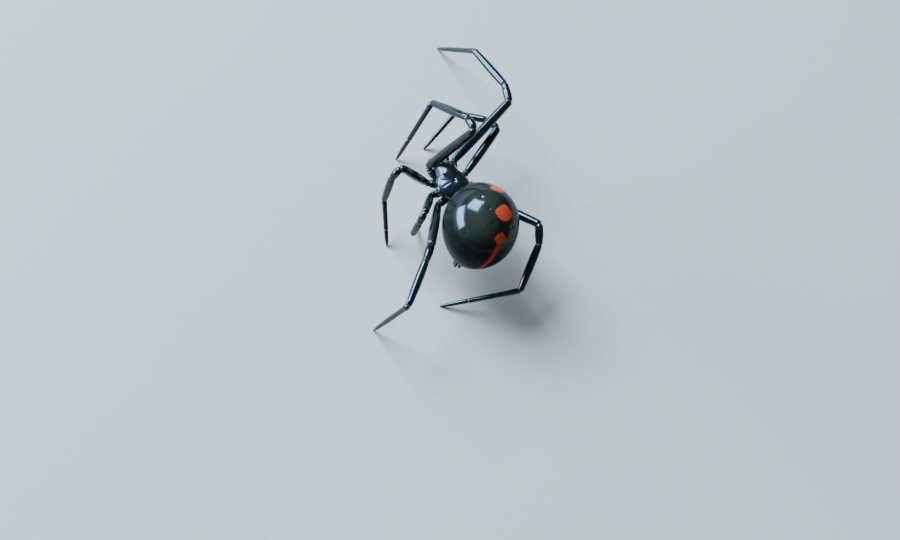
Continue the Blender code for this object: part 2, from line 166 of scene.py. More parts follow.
way, rise, roll = (math.radians(a) for a in CAMERA_WAY)
look_back = Vector((math.sin(way) * math.cos(rise), -math.cos(way) * math.cos(rise), math.sin(rise)))
level = Vector((0, 0, 1)).cross(look_back).normalized()
upright = look_back.cross(level)
picture_right = level * math.cos(roll) + upright * math.sin(roll)
picture_up = upright * math.cos(roll) - level * math.sin(roll)
camera = bpy.data.objects.new("camera", bpy.data.cameras.new("camera"))
camera.data.lens = LENS
camera.data.clip_start = 1 * MM
camera.data.clip_end = 5
turned = Matrix((picture_right, picture_up, look_back)).transposed()
camera.matrix_world = Matrix.Translation(CAMERA_AT) @ turned.to_4x4()
bpy.context.scene.collection.objects.link(camera)
bpy.context.scene.camera = camera


def soft_box(name, azimuth, elevation, distance, width, height, power, colour):
    """A rectangular lamp that faces the middle of the spider."""
    a, e = math.radians(azimuth), math.radians(elevation)
    toward = Vector((math.sin(a) * math.cos(e), -math.cos(a) * math.cos(e), math.sin(e)))
    lamp = bpy.data.objects.new(name, bpy.data.lights.new(name, "AREA"))
    lamp.data.shape = "RECTANGLE"
    lamp.data.size = width
    lamp.data.size_y = height
    lamp.data.energy = power
    lamp.data.color = colour
    stand = Matrix.Translation(toward * distance + Vector((0, 0, 5 * MM)))
    lamp.matrix_world = stand @ toward.to_track_quat("Z", "Y").to_matrix().to_4x4()
    bpy.context.scene.collection.objects.link(lamp)


soft_box("window_lamp", 58, 9, 0.5, 0.40, 0.15, 10.0, SKY_COOL)
soft_box("sky_lamp", 26, 41, 0.5, 0.28, 0.28, 12.0, SKY_COOL)
world = bpy.data.worlds.new("studio")
world.use_nodes = True
world.node_tree.nodes["Background"].inputs["Color"].default_value = (*ROOM_LIGHT, 1)
world.node_tree.nodes["Background"].inputs["Strength"].default_value = 0.18
bpy.context.scene.world = world


# Head and breastplate.
# The real cephalothorax is two hard plates of black chitin, the carapace above and the sternum below.
# It is lofted in slices from the face to the waist, with the fovea and its grooves pressed in.
HEAD_AT = Vector((0, 0, 3.6)) * MM + ORIGIN
HEAD_PITCH = math.radians(4)
CARAPACE_FRONT = -1.8
CARAPACE_LENGTH = 3.2
CARAPACE_HALF_WIDTH = 1.4
CARAPACE_HEIGHT = 1.0
MARGIN_HEIGHT = 0.05
STERNUM_HALF_WIDTH = 0.6
STERNUM_DEPTH = 0.95
FOVEA_SHARE = 0.66
SPOKES = (42, 80, 112)
CARAPACE_WIDTHS = (
    (0, 0.44), (0.06, 0.54), (0.2, 0.6), (0.34, 0.66), (0.48, 0.86), (0.66, 1.0), (0.82, 0.9), (0.93, 0.62), (1, 0.3)
)
CARAPACE_HEIGHTS = (
    (0, 0.4), (0.05, 0.62), (0.12, 0.82), (0.25, 0.98), (0.38, 1.0), (0.5, 0.9), (0.8, 0.76), (0.93, 0.52), (1, 0.26)
)
STERNUM_WIDTHS = ((0, 0.3), (0.16, 0.4), (0.28, 0.8), (0.42, 1.0), (0.7, 0.96), (0.9, 0.7), (1, 0.4))
STERNUM_DEPTHS = (
    (0, 0.05), (0.14, 0.08), (0.24, 0.5), (0.33, 0.9), (0.5, 1.0), (0.75, 1.0), (0.9, 0.84), (1, 0.5)
)
BELLY_LINE = (
    (0.985, 0, 0.03), (0.96, 0, 0.07), (0.7, 0.3, 0.10), (0.4, 0.6, 0.14), (0.15, 0.86, 0.2), (0.06, 0.94, 0.3),
    (0.02, 0.98, 0.55), (0, 1.0, 0.8), (0, 0.96, 0.9), (0, 0.86, 0.96), (0, 0.66, 0.985), (0, 0.45, 1.0), (0, 0.2, 1.0),
)
SHELL_BLACK = (0.0055, 0.0065, 0.008)
SHELL_BROWN = (0.018, 0.012, 0.009)
CARAPACE_BLACK = (0.008, 0.010, 0.013)

head_frame = np.array(Matrix.Translation(HEAD_AT) @ Matrix.Rotation(HEAD_PITCH, 4, "X"))


def from_head(point):
    """A point given in millimetres from the head's middle, in the world."""
    return head_frame[:3, :3] @ (np.asarray(point) * MM) + head_frame[:3, 3]


def eased(at, stops):
    """Smooth value between (place, value) stops."""
    places = [stop[0] for stop in stops]
    values = [stop[1] for stop in stops]
    at = min(max(at, places[0]), places[-1])
    k = min(max(int(np.searchsorted(places, at, side="right")) - 1, 0), len(places) - 2)
    span = places[k + 1] - places[k]
    t = (at - places[k]) / span
    slope = np.gradient(values, places)
    ease = (2 * t**3 - 3 * t**2 + 1) * values[k] + (3 * t**2 - 2 * t**3) * values[k + 1]
    return ease + span * ((t**3 - 2 * t**2 + t) * slope[k] + (t**3 - t**2) * slope[k + 1])


def tube_faces(rings):
    """Points and faces of a closed skin through rings of points, capped by a point at each end."""
    count = len(rings[0])
    points = np.concatenate([rings[0].mean(0)[None], *rings, rings[-1].mean(0)[None]])
    faces = [(0, 1 + (i + 1) % count, 1 + i) for i in range(count)]
    for k in range(len(rings) - 1):
        low, high = 1 + k * count, 1 + (k + 1) * count
        faces += [(low + i, low + (i + 1) % count, high + (i + 1) % count, high + i) for i in range(count)]
    last = 1 + (len(rings) - 1) * count
    faces += [(last + i, last + (i + 1) % count, len(points) - 1) for i in range(count)]
    return points, faces


def make_piece(name, bodies, material, replaced=(), attributes=()):
    """One piece from closed bodies of rings, which rides on the spider and takes the place of its nodes."""
    points, faces = [], []
    for rings in bodies:
        body_points, body_faces = tube_faces(rings)
        faces += [tuple(i + len(points) for i in face) for face in body_faces]
        points += [tuple(point) for point in body_points]
    mesh = bpy.data.meshes.new(name)
    mesh.from_pydata(points, [], faces)
    shape = bmesh.new()
    shape.from_mesh(mesh)
    bmesh.ops.recalc_face_normals(shape, faces=shape.faces)
    shape.to_mesh(mesh)
    shape.free()
    for key, per_ring in dict(attributes).items():
        layer = mesh.attributes.new(key, "FLOAT", "POINT")
        around = len(bodies[0][0])
        layer.data.foreach_set("value", np.concatenate([[per_ring[0]], np.repeat(per_ring, around), [per_ring[-1]]]))
    mesh.shade_smooth()
    mesh.materials.append(material)
    piece = bpy.data.objects.new(name, mesh)
    bpy.context.scene.collection.objects.link(piece)
    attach(piece, "root")
    if replaced:
        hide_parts(*replaced)
    return piece


def carapace_point(share, angle):
    """The carapace's surface: share runs from the face to the waist, angle from the left margin to the right."""
    width = CARAPACE_HALF_WIDTH * eased(share, CARAPACE_WIDTHS)
    height = CARAPACE_HEIGHT * eased(share, CARAPACE_HEIGHTS)
    x = width * math.cos(angle)
    y = CARAPACE_FRONT + CARAPACE_LENGTH * share
    lift = height * math.sin(angle) ** 0.85
    pit = 0.17 * math.exp(-((x / 0.13) ** 2) - ((share - FOVEA_SHARE) / 0.05) ** 2)
    fade = max(0.0, min(1.0, (0.66 - share) / 0.08, (share - 0.24) / 0.08)) * math.sin(angle)
    neck_x = 0.9 * min(max((0.64 - share) / 0.3, 0), 1)
    neck = 0.08 * fade * math.exp(-(((abs(x) - neck_x) / 0.12) ** 2))
    ahead, aside = (share - FOVEA_SHARE) * CARAPACE_LENGTH, abs(x)
    reach = math.hypot(ahead, aside)
    spokes = 0.0
    if 0.12 < reach < 1.15:
        bearing = math.degrees(math.atan2(aside, ahead))
        spokes = sum(math.exp(-(((bearing - spoke) / 7) ** 2)) for spoke in SPOKES)
        spokes *= 0.03 * min(1, (reach - 0.12) / 0.3, (1.15 - reach) / 0.3)
    rim = 0.02 * math.exp(-((math.sin(angle) - 0.1) / 0.05) ** 2)
    return np.array([x * (1 + rim), y, MARGIN_HEIGHT + lift - pit - neck - spokes])


def head_ring(share, dome=72):
    width = CARAPACE_HALF_WIDTH * eased(share, CARAPACE_WIDTHS)
    sternum = STERNUM_HALF_WIDTH * eased(share, STERNUM_WIDTHS)
    depth = STERNUM_DEPTH * eased(share, STERNUM_DEPTHS)
    y = CARAPACE_FRONT + CARAPACE_LENGTH * share
    ring = [carapace_point(share, math.pi * k / dome) for k in range(dome + 1)]
    low = [(a * width + b * sternum, y, MARGIN_HEIGHT - (depth + MARGIN_HEIGHT) * c) for a, b, c in BELLY_LINE]
    ring += [(-x, y, z) for x, y, z in low] + [(0, y, -depth)] + low[::-1]
    return np.array([from_head(p) for p in ring])


def shell(name, black, brown, roughness, pebble=0.007, coat=0.0):
    """Black chitin: glossy, faintly brown in places, with a fine pebbled surface."""
    material, place = finish(name, Specular_IOR_Level=0.38, Coat_Weight=coat, Coat_Roughness=0.24)
    patches = place.grain(0.5 * MM, 3, seed=2.0).smooth(0.45, 0.75)
    paint(patches.blend(black, brown), "Base Color")
    worn = place.grain(0.12 * MM, 3, seed=5.0)
    paint(worn * 0.14 + (roughness - 0.07), "Roughness")
    pebbles = place.grain(0.045 * MM, 3, 0.6) * 0.6 + place.grain(0.2 * MM, 2, seed=3.0) * 1.4
    paint(pebbles.bump(pebble * MM, 0.6), "Normal")
    return material


shares = [0.0, 0.01, 0.02] + [0.02 + 0.98 * k / 96 for k in range(1, 97)]
head_rings = [head_ring(s) for s in shares]
face_rings, back_rings = [], []
for shrink, shift in ((0.5, 0.10), (0.75, 0.085), (0.9, 0.055), (0.97, 0.02)):
    middle = head_rings[0].mean(0)
    face_rings.append(middle + (head_rings[0] - middle) * shrink + head_frame[:3, 1] * -shift * MM)
    middle = head_rings[-1].mean(0)
    back_rings.insert(0, middle + (head_rings[-1] - middle) * shrink + head_frame[:3, 1] * shift * MM)
carapace_black = shell("carapace_black", CARAPACE_BLACK, SHELL_BROWN, 0.27, 0.012, coat=0.6)
make_piece("head_shell", [face_rings + head_rings + back_rings], carapace_black, ("cephalothorax",))


# Eyes.
# Eight simple eyes in two rows, each a clear domed lens over a dark cup, set in a low ring of shell.
# Each lens is turned on its own axis and stands off the carapace where the skin swells round it.
EYES = {
    "eye_front_median": (0.030, 76, 0.11),
    "eye_front_lateral": (0.045, 46, 0.10),
    "eye_rear_median": (0.105, 77, 0.10),
    "eye_rear_lateral": (0.105, 50, 0.10),
}
LENS_LINE = [(math.cos(t), 0.2 + 0.72 * math.sin(t)) for t in np.linspace(-0.35, 1.45, 16)]
SOCKET_LINE = ((0.7, -0.3), (1.5, -0.3), (1.42, 0.05), (1.22, 0.22), (1.02, 0.16))
EYE_DARK = (0.012, 0.010, 0.008)
EYE_AMBER = (0.03, 0.018, 0.010)

eye_glass, place = finish("eye_glass", Roughness=0.04, Coat_Weight=1.0, Coat_Roughness=0.02)
paint(place.grain(0.05 * MM).smooth(0.3, 0.7).blend(EYE_DARK, EYE_AMBER), "Base Color")
socket_black = shell("socket_black", SHELL_BLACK, SHELL_BROWN, 0.2)


def turned_rings(base, out, profile, sides=32):
    """Rings turned about an axis from (radius, height) pairs in metres."""
    out = out / np.linalg.norm(out)
    across = np.cross(out, (0.3, 0.1, 1.0))
    across /= np.linalg.norm(across)
    beside = np.cross(out, across)
    turns = np.linspace(0, 2 * math.pi, sides, endpoint=False)[:, None]
    return [base + out * height + radius * (np.cos(turns) * across + np.sin(turns) * beside) for radius, height in profile]


for eye, (share, degrees, radius) in EYES.items():
    for side, angle in (("left", math.radians(degrees)), ("right", math.pi - math.radians(degrees))):
        along = carapace_point(share + 0.002, angle) - carapace_point(share - 0.002, angle)
        around = carapace_point(share, angle + 0.002) - carapace_point(share, angle - 0.002)
        out = head_frame[:3, :3] @ np.cross(along, around)
        base, size = from_head(carapace_point(share, angle)), radius * MM
        lens = turned_rings(base, out, [(r * size, h * size) for r, h in LENS_LINE])
        socket = turned_rings(base, out, [(r * size, h * size) for r, h in SOCKET_LINE])
        make_piece(f"{eye}_{side}_lens", [lens], eye_glass, (f"{eye}_{side}",))
        make_piece(f"{eye}_{side}_socket", [socket], socket_black)


# Jaws, fangs and mouth.
# Two stout chelicerae hang under the face, each with a thin curved fang folded in at its tip.
# Behind them the two maxillae lean together over the small lip in front of the breastplate.
FANG_BROWN = (0.05, 0.014, 0.006)
MOUTH_PALE = (0.030, 0.022, 0.016)
JAW = ((0.30, -1.52, -0.1), (0.30, -1.68, -0.95), (0.24, -1.60, -1.12))
JAW_RADII = ((0, 0.2), (0.25, 0.25), (0.6, 0.235), (0.85, 0.19), (0.96, 0.12), (1.0, 0.04))
FANG = ((0.30, -1.70, -0.98), (0.27, -1.66, -1.2), (0.12, -1.50, -1.24))
MAXILLA = ((0.46, -0.98, -0.62), (0.36, -1.22, -0.78), (0.16, -1.42, -0.90))
MAXILLA_RADII = ((0, 0.10), (0.3, 0.17), (0.7, 0.16), (0.92, 0.11), (1, 0.05))
LIP = ((0, -0.86, -0.72), (0, -1.04, -0.86), (0, -1.2, -0.93))
LIP_RADII = ((0, 0.12), (0.35, 0.16), (0.75, 0.14), (1, 0.05))


def bent_path(corners, bend_radius):
    """A fine path of straight runs and arcs: points, lengths along it, and the length at each corner."""
    points, marks = [corners[0]], []
    for before, corner, after in zip(corners, corners[1:], corners[2:]):
        back, ahead = before - corner, after - corner
        back, ahead = back / np.linalg.norm(back), ahead / np.linalg.norm(ahead)
        half = math.acos(float(np.clip(back @ ahead, -1, 1))) / 2
        swing = math.pi - 2 * half
        bisector = (back + ahead) / np.linalg.norm(back + ahead)
        centre = corner + bisector * bend_radius / math.sin(half)
        axis = np.cross(back, ahead)
        axis /= np.linalg.norm(axis)
        arm = corner + back * bend_radius / math.tan(half) - centre
        for k in range(25):
            angle = -swing * k / 24
            points.append(centre + arm * math.cos(angle) + np.cross(axis, arm) * math.sin(angle))
        marks.append(len(points) - 13)
    points = np.array(points + [corners[-1]])
    along = np.concatenate([[0], np.cumsum(np.linalg.norm(np.diff(points, axis=0), axis=1))])
    return points, along, np.array([0.0] + [along[k] for k in marks] + [along[-1]])


def walk(path, places):
    """Points, tangents and two side vectors at rising lengths along a path, without twist."""
    points, along, _ = path
    at = np.stack([np.interp(places, along, points[:, k]) for k in range(3)], 1)
    fore, aft = (
        np.stack([np.interp(places + d, along, points[:, k]) for k in range(3)], 1) for d in (0.03 * MM, -0.03 * MM)
    )
    tangents = (fore - aft) / np.linalg.norm(fore - aft, axis=1)[:, None]
    side, sides = np.array([0.31, 0.17, 0.94]), []
    for tangent in tangents:
        side = side - tangent * (side @ tangent)
        side /= np.linalg.norm(side)
        sides.append(side)
    sides = np.array(sides)
    return at, tangents, sides, np.cross(tangents, sides)


def limb_rings(path, places, radii, around=28, floor=-1.0):
    at, _, sides, beside = walk(path, places)
    turns = np.linspace(0, 2 * math.pi, around, endpoint=False)[:, None]
    rings = []
    for point, a, b, radius in zip(at, sides, beside, radii):
        ring = point + radius * (np.cos(turns) * a + np.sin(turns) * b)
        ring[:, 2] = np.maximum(ring[:, 2], floor)
        rings.append(ring)
    return rings


def head_tube(line, flip, radii, bend, around=24, count=40):
    """Rings of a bent tube whose line and radii are given in the head's frame."""
    path = bent_path([from_head(np.array(p) * flip) for p in line], bend * MM)
    length = path[1][-1]
    places = np.linspace(0, length, count)
    return limb_rings(path, places, [MM * eased(s / length, radii) for s in places], around)


fang_brown = shell("fang_brown", (0.02, 0.008, 0.005), FANG_BROWN, 0.15)
mouth_dull = shell("mouth_dull", SHELL_BROWN, MOUTH_PALE, 0.4)
FANG_RADII = [(t, 0.075 * (1 - t) ** 0.7 + 0.006) for t in np.linspace(0, 1, 12)]
for flip, side in (((1, 1, 1), "left"), ((-1, 1, 1), "right")):
    jaw = head_tube(JAW, flip, JAW_RADII, 0.12, 28, 48)
    make_piece(f"jaw_{side}", [jaw], socket_black, (f"chelicera_{side}",))
    make_piece(f"fang_{side}", [head_tube(FANG, flip, FANG_RADII, 0.08)], fang_brown)
    make_piece(f"maxilla_{side}", [head_tube(MAXILLA, flip, MAXILLA_RADII, 0.1)], mouth_dull)
make_piece("lower_lip", [head_tube(LIP, (1, 1, 1), LIP_RADII, 0.1)], mouth_dull)


# Legs.
# Eight jointed tubes of black chitin: coxa, trochanter, femur, patella, tibia, metatarsus and tarsus.
# Each leg is one skin that narrows at every joint, where a paler soft membrane shows between the segments.
COXA_ROOTS = ((0.72, -1.05, -0.5), (0.80, -0.36, -0.5), (0.80, 0.32, -0.5), (0.72, 0.98, -0.5))
HIPS = ((1.15, -2.00, -0.2), (1.70, -0.75, -0.3), (1.75, 0.40, -0.3), (1.60, 1.38, -0.25))
LEG_LENGTHS = ((6.2, 1.55, 4.4, 6.2), (4.4, 1.25, 2.7, 3.9), (3.4, 1.1, 1.8, 3.3), (5.7, 1.5, 3.8, 6.3))
LEG_GIRTHS = (1.05, 0.96, 0.90, 1.03)
LEG_BEND = 0.42
FOOT_TIP_HEIGHT = 0.02
LEG_POSES = {
    "leg1_left": (257, 65, 16, -40, 119),
    "leg1_right": (65, 30, -8, -17, -11),
    "leg2_left": (86, 52, 145, -80, 176),
    "leg2_right": (54, 14, -48, -23, -112),
    "leg3_left": (140, 37, 85, -85, 315),
    "leg3_right": (139, 0, 230, -5, 91),
    "leg4_left": (146, 30, 140, -5, 49),
    "leg4_right": (146, 20, 220, -34, 285),
}
LEG_RADII = (
    (0.00, 0.29), (0.50, 0.31), (0.78, 0.29), (1.00, 0.28), (1.15, 0.32), (1.45, 0.355), (1.85, 0.325),
    (2.00, 0.30), (2.50, 0.32), (3.00, 0.27), (3.25, 0.305), (3.80, 0.27), (4.00, 0.23), (4.15, 0.20),
    (4.60, 0.18), (4.70, 0.165), (4.90, 0.13), (5.00, 0.07),
)
LEG_JOINTS = (0.78, 1.0, 2.0, 3.0, 4.0, 4.64)
MEMBRANE_TAN = (0.050, 0.044, 0.038)


def heading(azimuth, rise, side):
    a, b = math.radians(azimuth), math.radians(rise)
    return np.array([side * math.sin(a) * math.cos(b), -math.cos(a) * math.cos(b), math.sin(b)])


def leg_corners(name):
    """Root, hip, knee, patella end, tibia end and tip of a leg, in the world."""
    pair, side = int(name[3]) - 1, 1 if name.endswith("left") else -1
    flip = np.array([side, 1, 1])
    femur, patella, tibia, foot = (length * MM for length in LEG_LENGTHS[pair])
    femur_way, femur_rise, tibia_way, tibia_rise, foot_way = LEG_POSES[name]
    root, hip = from_head(np.array(COXA_ROOTS[pair]) * flip), from_head(np.array(HIPS[pair]) * flip)
    thigh, shin = heading(femur_way, femur_rise, side), heading(tibia_way, tibia_rise, side)
    knee = hip + thigh * femur
    bend = 0.8 * shin + 0.35 * thigh
    below_knee = knee + bend / np.linalg.norm(bend) * patella
    ankle = below_knee + shin * tibia
    drop = -math.degrees(math.asin((ankle[2] - FOOT_TIP_HEIGHT * MM) / foot))
    sunk_root = root + (root - hip) * 0.18
    return [sunk_root, hip, knee, below_knee, ankle, ankle + heading(foot_way, drop, side) * foot]


def jointed_shell():
    """Leg chitin with tan membrane where the joint value on the mesh is high."""
    material, place = finish("leg_shell", Specular_IOR_Level=0.14, Coat_Roughness=0.10)
    joint = place.node("ShaderNodeAttribute", {"attribute_name": "joint"}, out="Fac")
    soft = (joint + place.grain(0.08 * MM, 2) * 0.3).smooth(0.75, 1.15)
    patches = place.grain(0.6 * MM, 3, seed=4.0).smooth(0.5, 0.8)
    paint(soft.blend(patches.blend(SHELL_BLACK, SHELL_BROWN), MEMBRANE_TAN), "Base Color")
    paint(soft * 0.3 + place.grain(0.15 * MM, 3) * 0.12 + 0.06, "Roughness")
    scales = place.grain(0.04 * MM, 3, 0.6) * 0.6 + place.grain(0.25 * MM, 2, seed=3.0) * 1.6
    paint(scales.bump(0.005 * MM, 0.5), "Normal")
    edge = place.node("ShaderNodeLayerWeight", {}, {"Blend": 0.5}, out="Facing").smooth(0.3, 0.85)
    paint((1.0 - edge * 0.85) * 0.62, "Coat Weight")
    return material


def segment_radii(places, joints, bare):
    """Radii along a limb with its joints pinched in, and how near each place is to a joint."""
    radii, near = [], []
    for s, radius in zip(places, bare):
        close = 0.0
        for joint in joints:
            d = (s - joint) / MM
            if d < 0:
                radius *= 1 + 0.05 * math.exp(-(((d + 0.12) / 0.06) ** 2)) - 0.18 * math.exp(-((d / 0.035) ** 2))
            else:
                radius *= 1 - 0.18 * math.exp(-((d / 0.11) ** 2))
            close = max(close, math.exp(-(((d - 0.02) / 0.06) ** 2)))
        radii.append(radius)
        near.append(close)
    return np.array(radii), np.array(near)


leg_paint = jointed_shell()
limbs = {}
for name in LEG_POSES:
    path = bent_path(leg_corners(name), LEG_BEND * MM)
    marks = path[2]
    girth = LEG_GIRTHS[int(name[3]) - 1]
    joints = [np.interp(j, range(6), marks) for j in LEG_JOINTS]
    places = list(np.linspace(0, marks[-1], int(marks[-1] / (0.09 * MM))))
    for j in joints:
        places += list(j + np.linspace(-0.2, 0.3, 21) * MM)
    places = np.unique(np.round([p for p in places if p <= marks[-1]], 7))
    shares = np.interp(places, marks, range(6))
    bare = [eased(share, LEG_RADII) * (1.0 if share < 1 else girth) * MM for share in shares]
    radii, near = segment_radii(places, joints, bare)
    tail = np.clip((marks[-1] - places) / (0.07 * MM), 0, 1)
    radii *= np.sqrt(np.maximum(0.02, 1 - (1 - tail) ** 2))
    rings = limb_rings(path, places, radii, 28, floor=0.0)
    nodes = [f"{name}_{part}" for part in ("coxa", "femur", "tibia", "foot")]
    make_piece(f"{name}_skin", [rings], leg_paint, nodes, {"joint": near})
    limbs[name] = (path, places, radii)


# Palps.
# Two short feelers beside the jaws, built like small legs, with a bristly last segment.
# Each is one skin with joints, rooted on the maxilla beside the mouth and tucked down in front of the jaws.
PALP = ((0.44, -1.30, -0.55), (0.54, -2.00, -0.08), (0.60, -2.44, -0.02), (0.58, -2.62, -0.60), (0.44, -2.42, -1.35))
PALP_RADII = ((0, 0.15), (0.2, 0.17), (0.4, 0.195), (0.6, 0.19), (0.84, 0.175), (0.95, 0.12), (1.0, 0.05))
PALP_JOINTS = (0.28, 0.5, 0.62, 0.76)
for flip, side in (((1, 1, 1), "left"), ((-1, 1, 1), "right")):
    path = bent_path([from_head(np.array(p) * flip) for p in PALP], 0.18 * MM)
    length = path[1][-1]
    places = np.linspace(0, length, 110)
    bare = [MM * eased(s / length, PALP_RADII) for s in places]
    radii, near = segment_radii(places, [length * j for j in PALP_JOINTS], bare)
    rings = limb_rings(path, places, radii, 24)
    make_piece(f"palp_{side}_skin", [rings], leg_paint, (f"palp_{side}",), {"joint": near * 0.8})
    limbs[f"palp_{side}"] = (path, places, radii)


# Bristles of the legs and palps.
# Short stiff black hairs that lean towards the tip of the limb, sparse above and closer on the feet.
# Each is a thin closed spike with its root sunk in the shell, grown in one joined mesh for each limb.
BRISTLE_SPACING = 0.022
BRISTLE_LENGTH = 0.15
BRISTLE_RADIUS = 0.0065
TUFT_PATCH = 0.0015

bristle_black, place = finish("bristle_black", Roughness=0.38)
paint(place.grain(0.1 * MM, 2).blend((0.006, 0.006, 0.006), (0.03, 0.024, 0.018)), "Base Color")


def make_spikes(name, roots, ways, lies, lengths, radius, spread):
    """Thin three-sided spikes in one mesh, each bent a little towards its lie, with its patch of the unwrap."""
    count = len(roots)
    lies = lies - ways * np.sum(lies * ways, axis=1)[:, None]
    lies /= np.linalg.norm(lies, axis=1)[:, None]
    beside = np.cross(ways, lies)
    points = np.zeros((count, 7, 3))
    for row, (up, over, thick) in enumerate(((-0.1, 0.0, 1.0), (0.5, 0.06, 0.75))):
        middle = roots + (ways * up + lies * over) * lengths[:, None]
        for k in range(3):
            angle = 2 * math.pi * k / 3
            points[:, 3 * row + k] = middle + radius * thick * (lies * math.cos(angle) + beside * math.sin(angle))
    points[:, 6] = roots + (ways * 0.95 + lies * 0.3) * lengths[:, None]
    pattern = [(0, 2, 1), (0, 1, 4, 3), (1, 2, 5, 4), (2, 0, 3, 5), (3, 4, 6), (4, 5, 6), (5, 3, 6)]
    faces = [tuple(7 * n + i for i in face) for n in range(count) for face in pattern]
    mesh = bpy.data.meshes.new(name)
    mesh.from_pydata(points.reshape(-1, 3).tolist(), [], faces)
    corners = np.array([(-1, -1), (1, -1), (0, 1), (-0.5, -0.5), (0.5, -0.5), (0, 0.5), (0, 0)]) * TUFT_PATCH
    patches = (spread[:, None, :] + corners[None]).reshape(-1, 2)
    layer = mesh.uv_layers.new(name="OFBake")
    loops = np.zeros(len(mesh.loops), dtype=int)
    mesh.loops.foreach_get("vertex_index", loops)
    layer.data.foreach_set("uv", patches[loops].ravel())
    mesh.materials.append(bristle_black)
    piece = bpy.data.objects.new(name, mesh)
    bpy.context.scene.collection.objects.link(piece)
    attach(piece, "root")


for number, (name, (path, places, radii)) in enumerate(limbs.items()):
    draw = np.random.default_rng(40 + number)
    length = places[-1]
    first = 0.16 if name.startswith("leg") else 0.3
    count = int(length * (1 - first) / (BRISTLE_SPACING * MM))
    s = np.sort(draw.uniform(first, 0.985, count)) * length
    at, tangents, sides, beside = walk(path, s)
    turns = draw.uniform(0, 2 * math.pi, count)
    out = np.cos(turns)[:, None] * sides + np.sin(turns)[:, None] * beside
    roots = at + out * np.interp(s, places, radii)[:, None] * 0.98
    fine = 1.15 - 0.6 * (s / length)
    lengths = draw.uniform(0.6, 1.2, count) * BRISTLE_LENGTH * MM * fine
    ways = out * draw.uniform(0.5, 0.9, count)[:, None] + tangents * 0.8
    ways /= np.linalg.norm(ways, axis=1)[:, None]
    tips = roots + ways * lengths[:, None]
    above = (roots[:, 2] > 0.04 * MM) & (tips[:, 2] > 0.01 * MM)
    spread = np.stack([0.004 + 0.992 * turns / (2 * math.pi), 0.004 + 0.992 * s / length], 1)
    make_spikes(
        f"{name}_bristles", roots[above], ways[above], tangents[above], lengths[above], BRISTLE_RADIUS * MM,
        spread[above],
    )


# Claws.
# Each foot ends in two curved claws with a smaller hooked one between them, of bare dark chitin.
# The last pair also has a comb of curved bristles under the foot. All are thin bent cones.
CLAW_LENGTH = 0.13
CLAW_RADIUS = 0.016
COMB_TEETH = 9

claw_brown = shell("claw_brown", (0.012, 0.008, 0.006), FANG_BROWN, 0.2)


def hook(root, way, down, length, radius):
    """Rings of a thin cone that curls from its way towards down."""
    rings = []
    for t in np.linspace(0, 1, 7):
        middle = root + (way * math.sin(1.3 * t) / 1.3 + down * (1 - math.cos(1.3 * t)) / 1.3) * length
        rings.append((middle, radius * (1 - 0.92 * t)))
    side = np.cross(way, down)
    turns = np.linspace(0, 2 * math.pi, 8, endpoint=False)[:, None]
    return [
        np.maximum(m + r * (np.cos(turns) * side + np.sin(turns) * down), (-1, -1, 0.002 * MM)) for m, r in rings
    ]


for name in LEG_POSES:
    path, places, radii = limbs[name]
    tip, tangent = path[0][-1], path[0][-1] - path[0][-2]
    tangent = tangent / np.linalg.norm(tangent)
    side = np.cross(tangent, (0, 0, 1.0))
    side /= np.linalg.norm(side)
    down = np.cross(tangent, side)
    down *= -np.sign(down[2])
    root = tip - tangent * 0.05 * MM - down * 0.02 * MM
    bodies = []
    for lean, size in ((0.5, 1.0), (-0.5, 1.0), (0.0, 0.6)):
        way = tangent + side * lean - down * 0.25
        bodies.append(hook(root + side * lean * 0.05 * MM, way / np.linalg.norm(way), down, CLAW_LENGTH * size * MM, CLAW_RADIUS * MM))
    if name.startswith("leg4"):
        comb = np.linspace(0.86, 0.97, COMB_TEETH) * places[-1]
        at, tangents, _, _ = walk(path, comb)
        for point, forward, radius in zip(at, tangents, np.interp(comb, places, radii)):
            way = forward * 0.6 + down * 0.5
            root = point + down * radius * 0.9
            if root[2] > 0.1 * MM:
                bodies.append(hook(root, way / np.linalg.norm(way), forward, 0.14 * MM, 0.009 * MM))
    make_piece(f"{name}_claws", bodies, claw_brown)


# Abdomen.
# A tight thin-skinned globe, glossy black with a faint olive cast, a painted olive reflection over the middle of its
# back, red marks down its back and a red hourglass below.
# It is one fine skin with the waist's seat, the knob of the spinnerets, the epigynum and small muscle pits.
ABDOMEN_RADII = np.array([2.83, 3.34, 3.37])
ABDOMEN_TURN = (-13.5, 8, -21)
WAIST = (0.0, 1.85, -0.15)
ABDOMEN_FROM_WAIST = (0.0, 3.05, 1.76)
FRONT_TAPER = 0.18
BELLY_TAPER = 0.27
WAIST_SEAT = math.radians(-42)
SPINNERET_ANGLE = math.radians(250)
EPIGYNUM_ANGLE = math.radians(-72)
KNOBS = ((SPINNERET_ANGLE, 0.20, 17), (WAIST_SEAT, 0.08, 14), (EPIGYNUM_ANGLE, 0.12, 9))
PITS = ((84.5, 1.5), (84.5, -1.5), (124.0, 0.85), (124.0, -0.85), (104.0, 1.15), (104.0, -1.15))
AROUND, ALONG = 220, 160
SPOT_RED = (0.72, 0.060, 0.022)
SPOT_EDGE = (0.36, 0.014, 0.006)
STRIPE_RED = (0.38, 0.024, 0.014)
ABDOMEN_BLACK = (0.0045, 0.0048, 0.0045)
ABDOMEN_OLIVE = (0.019, 0.0185, 0.0115)
# Painted reflection: a lighter olive laid over the middle of the back.
BACK_PAINTED_SHEEN = (0.030, 0.0255, 0.0150)
LUNG_BROWN = (0.020, 0.014, 0.010)

yaw, pitch, lean = (math.radians(a) for a in ABDOMEN_TURN)
abdomen_turn = Matrix.Rotation(yaw, 3, "Z") @ Matrix.Rotation(pitch, 3, "X") @ Matrix.Rotation(lean, 3, "Y")
abdomen_at = np.array(Vector(from_head(WAIST)) + abdomen_turn @ (Vector(ABDOMEN_FROM_WAIST) * MM))
abdomen_turn = np.array(abdomen_turn)


